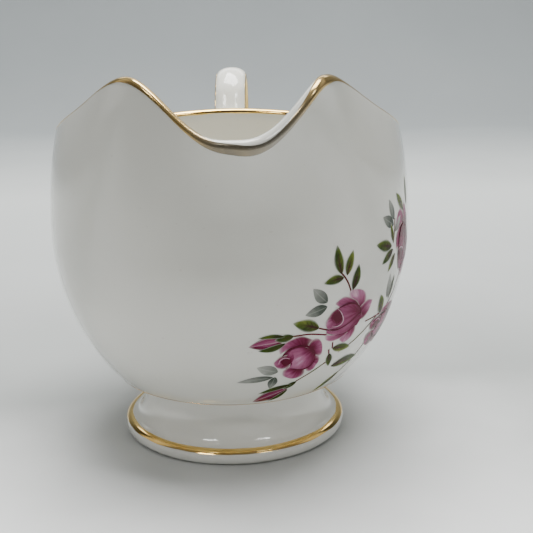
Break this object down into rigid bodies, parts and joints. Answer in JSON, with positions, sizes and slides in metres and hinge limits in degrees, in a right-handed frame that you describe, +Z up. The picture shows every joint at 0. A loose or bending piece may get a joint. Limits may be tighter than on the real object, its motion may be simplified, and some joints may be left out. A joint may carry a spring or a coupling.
{
  "type": "cream jug",
  "caption": "Globular porcelain cream jug with an eared, wavy rim, pouring lip, flared foot, strap handle, gilding and a rose spray.",
  "frame": {"origin": "centre of the foot's standing ring, on the table plane", "axes": "-Y points to the pouring lip, +Y to the handle, +X to the side with the printed spray, +Z up"},
  "size_m": [0.085, 0.115, 0.089],
  "materials": {
    "porcelain": "glossy clear glaze over white porcelain",
    "gold": "bright burnished gilding, brushed by hand",
    "rose_enamel": "printed pink enamel, glossy",
    "crimson_enamel": "printed crimson enamel, glossy",
    "green_enamel": "printed leaf-green enamel, glossy",
    "grey_enamel": "printed grey-green enamel, glossy",
    "stem_enamel": "printed brown-olive enamel, glossy"
  },
  "bodies": {
    "root": {"body": "porcelain", "foot": "porcelain", "handle": "porcelain", "rim_gilding": "gold", "neck_gilding": "gold", "foot_gilding": "gold", "handle_gilding_left": "gold", "handle_gilding_right": "gold", "rose_lower": "rose_enamel", "rose_middle": "rose_enamel", "rose_upper": "rose_enamel", "rose_side": "rose_enamel", "bud_low": "crimson_enamel", "bud_high": "rose_enamel", "leaves_green": "green_enamel", "leaves_grey": "grey_enamel", "stems": "stem_enamel"}
  },
  "joints": []
}
